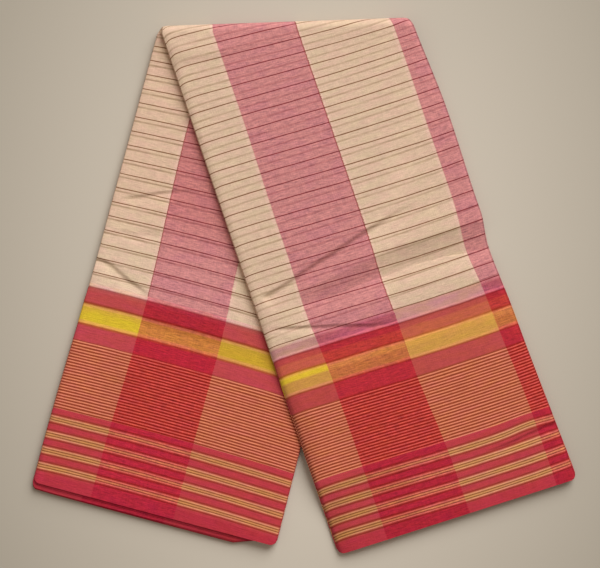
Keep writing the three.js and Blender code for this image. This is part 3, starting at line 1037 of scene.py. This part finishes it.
def striped_cloth(name, line_pitch, border, brightness=COTTON_TONE):
    """Handloom cotton in pink and cream stripes with rust lines and the striped border."""
    weave = Weave(name)
    across, straight_down = weave.cloth_place("cloth")
    grain = {each: weave.streaks(across, straight_down, each) for each in GRAINS}
    grain["ghost"] = weave.times(grain["cloud"], border["ghost"])
    down = weave.plus(straight_down, weave.times(weave.centred(grain["beat"]), BEAT_SWAY))
    ragged = weave.times(weave.centred(grain["weft slub"]), RAGGED_WARP)
    warp = warp_stripes(weave, weave.plus(across, ragged), border)
    in_pink = warp[0]

    body = plain_body(weave, grain, warp, down, border)
    body, rust = with_rust_lines(weave, grain, in_pink, body, down, line_pitch)
    border_end = border["end_mm"] * MM
    in_body = weave.ease(down, border_end - 0.5 * MM, border_end)
    tone = weave.mix(in_body, border_tones(weave, border, across, down, in_pink), body)

    yarn = weave.blend((grain["weft slub"], 0.65), (grain["warp slub"], 0.35))
    mottle = weave.blend((yarn, 0.6), (grain["dashes"], 0.4))
    # The cloth's brightness times the painted shade along its folded sides.
    brightness_with_painted_shade = weave.times(brightness, painted_shade_at_sides(weave, border["painted_side_shade"]))
    tone = weave.tinted(tone, yarn_shade(weave, grain, mottle, in_pink, in_body, brightness_with_painted_shade))

    shader = weave.surface(tone, 0.88, 0.08)
    shader.inputs["Sheen Weight"].default_value = 0.05
    shader.inputs["Sheen Roughness"].default_value = 0.5
    normal = weave_relief(weave, across, down, mottle, rust)
    weave.feed(shader.inputs["Normal"], normal)
    return weave.material


def pale_floor(colours):
    """A matt floor with a painted pool of light: lighter in the middle and a little darker away
    from it.
    """
    paint = Weave("Pale floor")
    place = paint.node("ShaderNodeTexCoord")
    squashed = paint.node("ShaderNodeVectorMath", operation="MULTIPLY")
    paint.links.new(place.outputs["Object"], squashed.inputs[0])
    squashed.inputs[1].default_value = FLOOR_SQUASH
    away = paint.node("ShaderNodeVectorMath", operation="LENGTH")
    paint.links.new(squashed.outputs[0], away.inputs[0])
    share = paint.math("MINIMUM", paint.math("DIVIDE", away.outputs["Value"], FLOOR_REACH), 1.0)
    paint.surface(paint.mix(share, rgba(colours.floor), rgba(colours.floor_painted_dim)), 0.95, 0.1)
    return paint.material


# ---- Showing layers ----------------------------------------------------------------------------


def rolled_across(across, roll):
    """Shares across for a grid's columns, with room left for the rolled sides."""
    inset = (roll - RIM_SWELL) / LEG_WIDTH
    return inset + (1 - 2 * inset) * across


def side_droop(across):
    """How much lower the pile is towards its long sides, where the pleats' folds are."""
    from_side = np.minimum(across, 1 - across) * LEG_WIDTH
    return SIDE_DROOP * np.clip(1 - from_side / SIDE_REACH, 0, 1) ** 2


def left_slump(across, along):
    """How much lower the over leg lies along its left side, most where it hangs free."""
    lower = smoothstep(along, 0.5, 0.85)
    slump = UPPER_SLUMP + (LOWER_SLUMP - UPPER_SLUMP) * lower
    reach = UPPER_SLUMP_REACH + (LOWER_SLUMP_REACH - UPPER_SLUMP_REACH) * lower
    return slump * smoothstep(along, 0.0, 0.05) * np.clip(1 - across * LEG_WIDTH / reach, 0, 1) ** 2


def corner_back(across):
    """How far the hem lies back where its corners are rounded off."""
    from_side = np.clip(np.minimum(across, 1 - across) * LEG_WIDTH, 0, HEM_ROUND)
    return HEM_ROUND - np.sqrt(HEM_ROUND**2 - (HEM_ROUND - from_side) ** 2)


def hem_end(across):
    """Share of a leg's length at which the showing layer ends, with its corners rounded off."""
    return 1 + (HEM_PAST - corner_back(across)) / LEG_LENGTH


def close_rows(count):
    """Shares along a leg for a grid's rows, closer together where the creases and the hem are."""
    return np.interp(
        np.linspace(0, 1, count), (0, 0.13, 0.68, 0.76, 0.93, 1), (0, 0.30, 0.62, 0.84, 0.96, 1)
    )


def close_columns(count):
    """Shares across a leg for a grid's columns, closer together along its sides."""
    return np.interp(np.linspace(0, 1, count), (0, 0.08, 0.92, 1), (0, 0.03, 0.97, 1))


# ---- The turn ----------------------------------------------------------------------------------


def with_height(plan, height):
    """Plan points and heights as points."""
    return np.concatenate([plan, height[..., None]], axis=-1)


def turn_point(across, angle, radius, ease_share=1.0, reach=0.0):
    """Points of the turn round its axis, from angle 0 on top to pi under the bundle."""
    share = angle / math.pi
    zero = np.zeros_like(across)
    top = plan_point(OVER_LEG, across, zero)
    bottom = plan_point(UNDER_LEG, across, zero)
    ease = TURN_CORNER_EASE * math.sin(angle) * (1 - 2 * across) * ease_share
    back = radius * math.sin(angle)
    plan = top * (1 - share) + bottom * share
    plan = plan + (ease + reach)[:, None] * crease_run - back[:, None] * toward_hem
    return with_height(plan, TURN_RADIUS + radius * math.cos(angle))


# ---- Grids of the showing layers ---------------------------------------------------------------


def side_map(across, along):
    """Distances from a leg's left side, and from its hem."""
    across, along = np.broadcast_arrays(across, along)
    return np.stack([across * LEG_WIDTH, (1 - along) * LEG_LENGTH], axis=-1)


def leg_plan(leg, sizes):
    """Shares across and along a leg, and plan points, for a showing layer's grid."""
    across = rolled_across(close_columns(LEG_COLUMNS), sizes.edge_roll)
    along = close_rows(LEG_ROWS)[:, None]
    return across, along, plan_point(leg, across[None, :], along * hem_end(across)[None, :])


def over_leg_grid(sizes):
    """Points, outward directions and cloth coordinates of the over leg's showing layer."""
    across, along, plan = leg_plan(OVER_LEG, sizes)
    level = LEG_HEIGHT + GAP + LEG_HEIGHT
    droop = side_droop(across)
    height = showing_height(over_base(plan), OVER_CREASES, plan, OVER_SEED)
    height = height - left_slump(across[None, :], along)
    leg = with_height(plan, level + (height - level) * smoothstep(along, 0.0, 0.04) - droop)
    place = over_weave(plan)
    maps = [place, beneath(OVER_WEAVE, place, plan), side_map(across, along)]

    turned, turned_down, turned_ups = [], [], []
    for step in range(TURN_ROWS, 0, -1):
        angle = math.pi * step / TURN_ROWS
        turned.append(turn_point(across, angle, TURN_RADIUS - droop))
        turned_down.append(TURN_RADIUS * angle)
        sine = math.sin(angle)
        turned_ups.append([[-toward_hem[0] * sine, -toward_hem[1] * sine, math.cos(angle)]])
    flap, flap_down = [], []
    for step in range(FLAP_ROWS, 0, -1):
        reach = FLAP * step / FLAP_ROWS
        row = turned[0].copy()
        row[:, :2] += reach * toward_hem
        row[:, 2] = droop * (1 - step / FLAP_ROWS) ** 2
        flap.append(row)
        flap_down.append(turned_down[0] + reach)
    past = np.array(flap_down + turned_down)[:, None, None] * np.array([0.0, 1.0])
    points = np.concatenate([np.array(flap), np.array(turned), leg])
    before = np.array([turned_ups[0]] * FLAP_ROWS + turned_ups)
    ups = np.concatenate([before, np.tile(UP, (LEG_ROWS, 1, 1))])
    return points, ups, [np.concatenate([each[0] + past, each]) for each in maps]


def under_leg_grid(sizes):
    """Points, outward directions and cloth coordinates of the under leg's showing layer."""
    across, along, plan = leg_plan(UNDER_LEG, sizes)
    plan = plan + (UNDER_SHIFT * (1 - smoothstep(along, 0.0, 0.03)))[..., None] * toward_hem
    height = showing_height(0.0, UNDER_CREASES, plan, UNDER_SEED) - side_droop(across)
    place = under_weave(plan)
    maps = [place, beneath(UNDER_WEAVE, place, plan), side_map(across, along)]
    return with_height(plan, height), np.tile(UP, (LEG_ROWS, 1, 1)), maps


def rolled(points, ups, maps, roll):
    """Adds columns that turn each long side in over the side of the pile."""
    sides = []
    for edge, inner, sign in ((0, 1, -1), (-1, -2, 1)):
        corner = points[:, edge][:, None]
        out = corner - points[:, inner][:, None]
        out = out - (out * ups).sum(-1, keepdims=True) * ups
        out = out / np.linalg.norm(out, axis=-1, keepdims=True)
        columns = []
        for step in range(1, ROLL_STEPS + 1):
            angle = ROLL_ANGLE * step / ROLL_STEPS
            point = corner + out * roll * math.sin(angle) - ups * roll * (1 - math.cos(angle))
            slide = np.array([sign * roll * angle, 0.0])
            columns.append([point, *[each[:, edge][:, None] + slide for each in maps]])
        sides.append(columns)
    left, right = sides
    left.reverse()
    whole = []
    for k, middle in enumerate([points, *maps]):
        before, after = [[column[k] for column in side] for side in (left, right)]
        whole.append(np.concatenate([*before, middle, *after], axis=1))
    return whole


def showing_layer(name, grid, sizes):
    """One showing layer as a closed shell with rolled sides."""
    points, ups, maps = grid
    points, place, under, side = rolled(points, ups, maps, sizes.edge_roll)
    uv_maps = {"cloth": place, "beneath": under, "side": side}
    return cloth_object(name, points, sizes.showing_thickness, uv_maps)


# ---- Hidden layers -----------------------------------------------------------------------------


def fold_reach(fold, along):
    """How far a pleat's fold stands out of the pile's side, in metres."""
    steady = FOLD_UNEVEN_MM * math.sin(2.4 * fold + 1.0)
    wavering = FOLD_WAVER_MM * noise.noise(Vector((along * 6.0, fold * 1.7, 2.0)))
    return (FOLD_OUT_MM + steady + wavering) * MM


def with_corner_columns(shares):
    """Shares across a layer with two more close to each side, for the hem's rounded corners."""
    close = np.array(CORNER_COLUMNS)
    return np.concatenate([[0], close, shares[1:-1], 1 - close[::-1], [1]])


def ply_shares(leg, over, along):
    """Shares across one hidden layer, closer together where it comes down to the floor."""
    if not over:
        return with_corner_columns(np.linspace(0, 1, PLY_COLUMNS))
    even = np.linspace(0, 1, 201)
    beside = right_of_under_leg(plan_point(leg, even, np.full(even.shape, along)))
    density = 1 + CLOSER * ((beside > DROP_START) & (beside < DROP_END))
    filled = np.concatenate([[0], np.cumsum((density[1:] + density[:-1]) / 2)])
    return with_corner_columns(np.interp(np.linspace(0, filled[-1], PLY_COLUMNS), filled, even))


def ply_section(sizes, along, shares):
    """A section through the hidden layers: share across, reach sideways, level and cloth run."""
    across, reach, level, run = [], [], [], []
    radius = sizes.ply_rise / 2
    last = sizes.ply_count - 1
    for ply in range(sizes.ply_count):
        to_right = ply % 2 == 0
        side = 1 if to_right else -1
        before = -PLY_END if ply == 0 else fold_reach(ply - 1, along) - radius
        after = -PLY_END if ply == last else fold_reach(ply, along) - radius
        done = shares if to_right else 1 - shares[::-1]
        across.extend(done if to_right else 1 - done)
        reach.extend(side * (after * done - before * (1 - done)))
        level.extend([float(ply)] * len(done))
        run.extend((done if to_right else 1 - done) * LEG_WIDTH)
        if ply == last:
            break
        for i in range(1, FOLD_STEPS + 1):
            angle = math.pi * (i / (FOLD_STEPS + 1) - 0.5)
            across.append(1.0 if to_right else 0.0)
            reach.append(side * (after + radius * math.cos(angle)))
            level.append(ply + 0.5 + 0.5 * math.sin(angle))
            run.append((LEG_WIDTH if to_right else 0.0) + side * radius * math.cos(angle))
    return tuple(np.array(values) for values in (across, reach, level, run))


def hem_reach(table_mm, level, across, last):
    """How far each layer's selvedge stands past the showing one's."""
    reach = np.interp(level / last, np.linspace(0, 1, len(table_mm)), table_mm)
    reach = reach + HEM_UNEVEN_MM * np.sin(7.3 * np.round(level) + 3 * across)
    ended = smoothstep(across, HEM_REACH_START, HEM_REACH_END)
    return np.where(reach > 0, reach * (1 - ended), reach) * MM


def ply_radius(share):
    """Radius of the hidden layers in the turn, from the outermost at share 0 to the innermost."""
    return OUTER_TURN + (INNER_TURN - OUTER_TURN) * share


def leg_ply_row(sizes, leg, along):
    """Points of one row of the hidden layers in a leg, and their distance from the selvedge."""
    over = leg is OVER_LEG
    across, reach, level, run = ply_section(sizes, along, ply_shares(leg, over, along))
    last = sizes.ply_count - 1
    plan = plan_point(leg, across, np.full(across.shape, along))
    left, right = plan_point(leg, np.array([0.0, 1.0]), np.full(2, along))
    sideways = (right - left) / np.linalg.norm(right - left)
    hem_run = leg["hem_right"] - leg["hem_left"]
    hem_run = hem_run / np.linalg.norm(hem_run)
    past_hem = np.array([hem_run[1], -hem_run[0]])
    own_level = last - level if over else level
    past = HEM_PAST - corner_back(across)
    past = past + hem_reach(leg["hem_reach_mm"], own_level, across, last)
    past = past * smoothstep(along, 0.9, 1.0)
    start = plan_point(leg, across, np.zeros_like(across))
    from_foot = (plan - start) @ toward_hem
    base = over_base(plan) if over else 0.0
    sag = hidden_sag(OVER_CREASES if over else UNDER_CREASES, plan) / STACK_HEIGHT
    height = base + FIRST_PLY + own_level * sizes.ply_rise * (1 - sag)
    turn_radius = ply_radius(level / last)
    foot_height = TURN_RADIUS + (turn_radius if over else -turn_radius)
    height = foot_height + (height - foot_height) * smoothstep(from_foot, 0.0, FOOT_BLEND)
    droop = side_droop(across) + (left_slump(across, along) if over else 0.0)
    height = base + (height - base) * (1 - droop / LEG_HEIGHT)
    plan = plan + reach[:, None] * sideways + past[:, None] * past_hem
    length_down = np.linalg.norm(plan_point(leg, across, np.ones_like(across)) - start, axis=-1)
    from_selvedge = length_down * (1 - along) + past
    return with_height(plan, height), np.stack([run, from_selvedge], axis=-1)


def turn_ply_row(sizes, angle, selvedge):
    """Points of one row of the hidden layers in the turn."""
    share = angle / math.pi
    over_shares = ply_shares(OVER_LEG, True, 0.0)
    shares = over_shares * (1 - share) + ply_shares(UNDER_LEG, False, 0.0) * share
    across, reach, level, run = ply_section(sizes, 0.0, shares)
    radius = ply_radius(level / (sizes.ply_count - 1))
    radius = radius * (1 - side_droop(across) / TURN_RADIUS)
    points = turn_point(across, angle, radius, radius / TURN_RADIUS, reach)
    return points, np.stack([run, selvedge + radius * (math.pi - angle)], axis=-1)


def pleated_layers(sizes):
    """All the hidden layers as one pleated length of cloth, from hem to hem round the turn."""
    made = [leg_ply_row(sizes, UNDER_LEG, 1 - i / UNDER_ROWS) for i in range(UNDER_ROWS + 1)]
    selvedge = made[-1][1][:, 1]
    for i in range(1, ROLL_ROWS):
        made.append(turn_ply_row(sizes, math.pi * (1 - i / ROLL_ROWS), selvedge))
    made.extend(leg_ply_row(sizes, OVER_LEG, i / OVER_ROWS) for i in range(OVER_ROWS + 1))
    points, places = [np.array(each) for each in zip(*made)]
    middle = np.full(places.shape, LEG_WIDTH / 2)
    uv_maps = {"cloth": places, "beneath": places, "side": middle}
    return cloth_object("pleated_layers", points, sizes.ply_thickness, uv_maps)


# ---- Operators ---------------------------------------------------------------------------------


def finish_piece(piece, material, nodes):
    """Gives a piece its cloth, hangs it under the root body and hides the frame's parts that it
    takes the place of.
    """
    piece.data.materials.append(material)
    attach(piece, "root")
    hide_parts(*nodes)


class SAREE_OT_under_leg_cloth(bpy.types.Operator):
    """Makes the layer that shows on the under leg, the strip's inner face"""

    bl_idname = "saree.under_leg_cloth"
    bl_label = "Under leg cloth"

    def execute(self, context):
        sizes = context.scene.saree_sizes
        grid = under_leg_grid(sizes)
        piece = showing_layer("under_leg_cloth", grid, sizes)
        cloth = striped_cloth("Under leg cotton", sizes.under_line_pitch, UNDER_BORDER, UNDER_TONE)
        finish_piece(
            piece, cloth, ["under_leg_panel"],
        )
        return {"FINISHED"}


class SAREE_OT_over_leg_cloth(bpy.types.Operator):
    """Makes the layer that shows on the over leg, the strip's outer face, and its turn"""

    bl_idname = "saree.over_leg_cloth"
    bl_label = "Over leg cloth"

    def execute(self, context):
        sizes = context.scene.saree_sizes
        grid = over_leg_grid(sizes)
        piece = showing_layer("over_leg_cloth", grid, sizes)
        cloth = striped_cloth("Over leg cotton", sizes.over_line_pitch, OVER_BORDER)
        finish_piece(
            piece, cloth, ["over_leg_panel"],
        )
        return {"FINISHED"}


class SAREE_OT_pleated_layers(bpy.types.Operator):
    """Makes the hidden layers as one pleated length of cloth that turns over at the crease"""

    bl_idname = "saree.pleated_layers"
    bl_label = "Pleated layers"

    def execute(self, context):
        sizes = context.scene.saree_sizes
        piece = pleated_layers(sizes)
        cloth = striped_cloth("Pleated cotton", sizes.over_line_pitch, UNDER_BORDER)
        finish_piece(
            piece, cloth, ["under_leg_layers", "turn_layers", "over_leg_layers"],
        )
        return {"FINISHED"}


class SAREE_OT_stage(bpy.types.Operator):
    """Makes the pale floor, the soft lights and the camera straight above"""

    bl_idname = "saree.stage"
    bl_label = "Stage"

    def execute(self, context):
        stage = context.scene.saree_stage
        colours = context.scene.saree_colours
        bpy.ops.object.select_all(action="DESELECT")
        bpy.ops.mesh.primitive_plane_add(size=FLOOR_SIZE, location=(0, 0, -FLOOR_DROP))
        floor = context.active_object
        floor.name = "floor"
        floor.data.materials.append(pale_floor(colours))

        key = bpy.data.lights.new("key_light", "AREA")
        key.shape = "DISK"
        key.size = KEY_DIAMETER
        key.energy = stage.key_power
        key.color = KEY_COLOUR
        key_object = bpy.data.objects.new("key_light", key)
        key_object.location = KEY_PLACE
        aim = -key_object.location
        key_object.rotation_euler = aim.to_track_quat("-Z", "Y").to_euler()
        context.collection.objects.link(key_object)

        world = bpy.data.worlds.new("even_light")
        world.use_nodes = True
        even = world.node_tree.nodes["Background"]
        even.inputs["Color"].default_value = FILL_COLOUR
        even.inputs["Strength"].default_value = stage.fill_strength
        context.scene.world = world
        context.scene.view_settings.view_transform = "Standard"

        camera = bpy.data.cameras.new("camera_above")
        camera.sensor_fit = "HORIZONTAL"
        camera.sensor_width = SENSOR_MM
        camera.lens = SENSOR_MM * stage.camera_height / stage.view_width
        camera_object = bpy.data.objects.new("camera_above", camera)
        camera_object.location = (*CAMERA_PLACE, stage.camera_height + LEG_HEIGHT)
        context.collection.objects.link(camera_object)
        context.scene.camera = camera_object
        return {"FINISHED"}


class SAREE_PT_pieces(bpy.types.Panel):
    """Lists the pieces in the 3D view's sidebar"""

    bl_idname = "SAREE_PT_pieces"
    bl_label = "Folded saree"
    bl_space_type = "VIEW_3D"
    bl_region_type = "UI"
    bl_category = "Saree"

    def draw(self, context):
        scene = context.scene
        for group in (scene.saree_sizes, scene.saree_colours, scene.saree_stage):
            box = self.layout.box()
            for name in group.__annotations__:
                box.prop(group, name)
        for operator in OPERATORS:
            self.layout.operator(operator.bl_idname)


OPERATORS = (
    SAREE_OT_stage,
    SAREE_OT_under_leg_cloth,
    SAREE_OT_over_leg_cloth,
    SAREE_OT_pleated_layers,
)
CLASSES = (SareeSizes, SareeColours, StageSizes, *OPERATORS, SAREE_PT_pieces)


def register():
    """Adds the classes and their settings."""
    for entry in CLASSES:
        bpy.utils.register_class(entry)
    bpy.types.Scene.saree_sizes = PointerProperty(type=SareeSizes)
    bpy.types.Scene.saree_colours = PointerProperty(type=SareeColours)
    bpy.types.Scene.saree_stage = PointerProperty(type=StageSizes)


def unregister():
    """Takes the classes and their settings away."""
    del bpy.types.Scene.saree_stage
    del bpy.types.Scene.saree_colours
    del bpy.types.Scene.saree_sizes
    for entry in reversed(CLASSES):
        bpy.utils.unregister_class(entry)


def corners(box):
    """A box's lowest and highest corner as plain lists."""
    return [list(corner) for corner in box]


def main():
    """Makes every piece in turn."""
    register()
    bpy.ops.saree.stage()
    bpy.ops.saree.under_leg_cloth()
    bpy.ops.saree.over_leg_cloth()
    bpy.ops.saree.pleated_layers()


if __name__ == "__main__":
    main()
